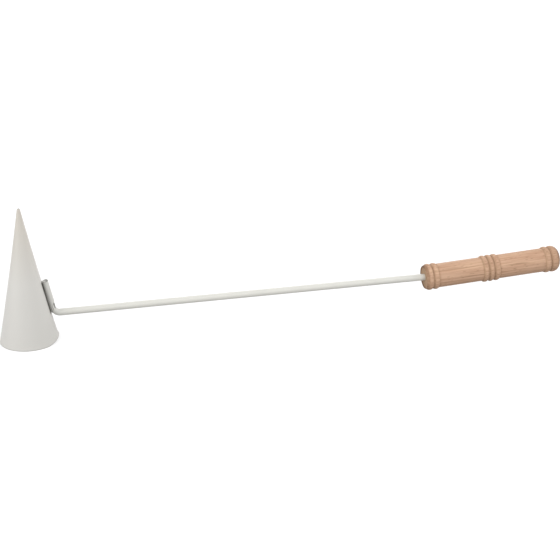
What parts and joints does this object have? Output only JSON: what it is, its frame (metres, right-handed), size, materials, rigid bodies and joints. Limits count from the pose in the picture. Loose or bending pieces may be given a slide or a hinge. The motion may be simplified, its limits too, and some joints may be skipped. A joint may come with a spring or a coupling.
{
  "type": "candle snuffer",
  "caption": "Long-handled candle snuffer: a slender hollow cone with an open mouth, on a straight bent rod with a turned wooden handle.",
  "frame": {"origin": "centre of the cone's open mouth, in the plane of its rim", "axes": "+Z along the cone's axis, from the mouth to the tip; +X the way the rod leaves the cone, towards the handle"},
  "size_m": [0.4017, 0.0398, 0.0935],
  "materials": {
    "cone_enamel": "spun steel sheet with a satin off-white enamel",
    "rod_enamel": "drawn steel wire with a satin off-white enamel",
    "weld_metal": "fused steel, hidden between the leg and the wall",
    "beech": "turned beech, sanded and left raw",
    "glue": "cured two-part glue"
  },
  "bodies": {
    "root": {"snuffer_cone": "cone_enamel", "rod": "rod_enamel", "upper_weld": "weld_metal", "lower_weld": "weld_metal", "handle": "beech", "tang_glue": "glue"}
  },
  "joints": []
}
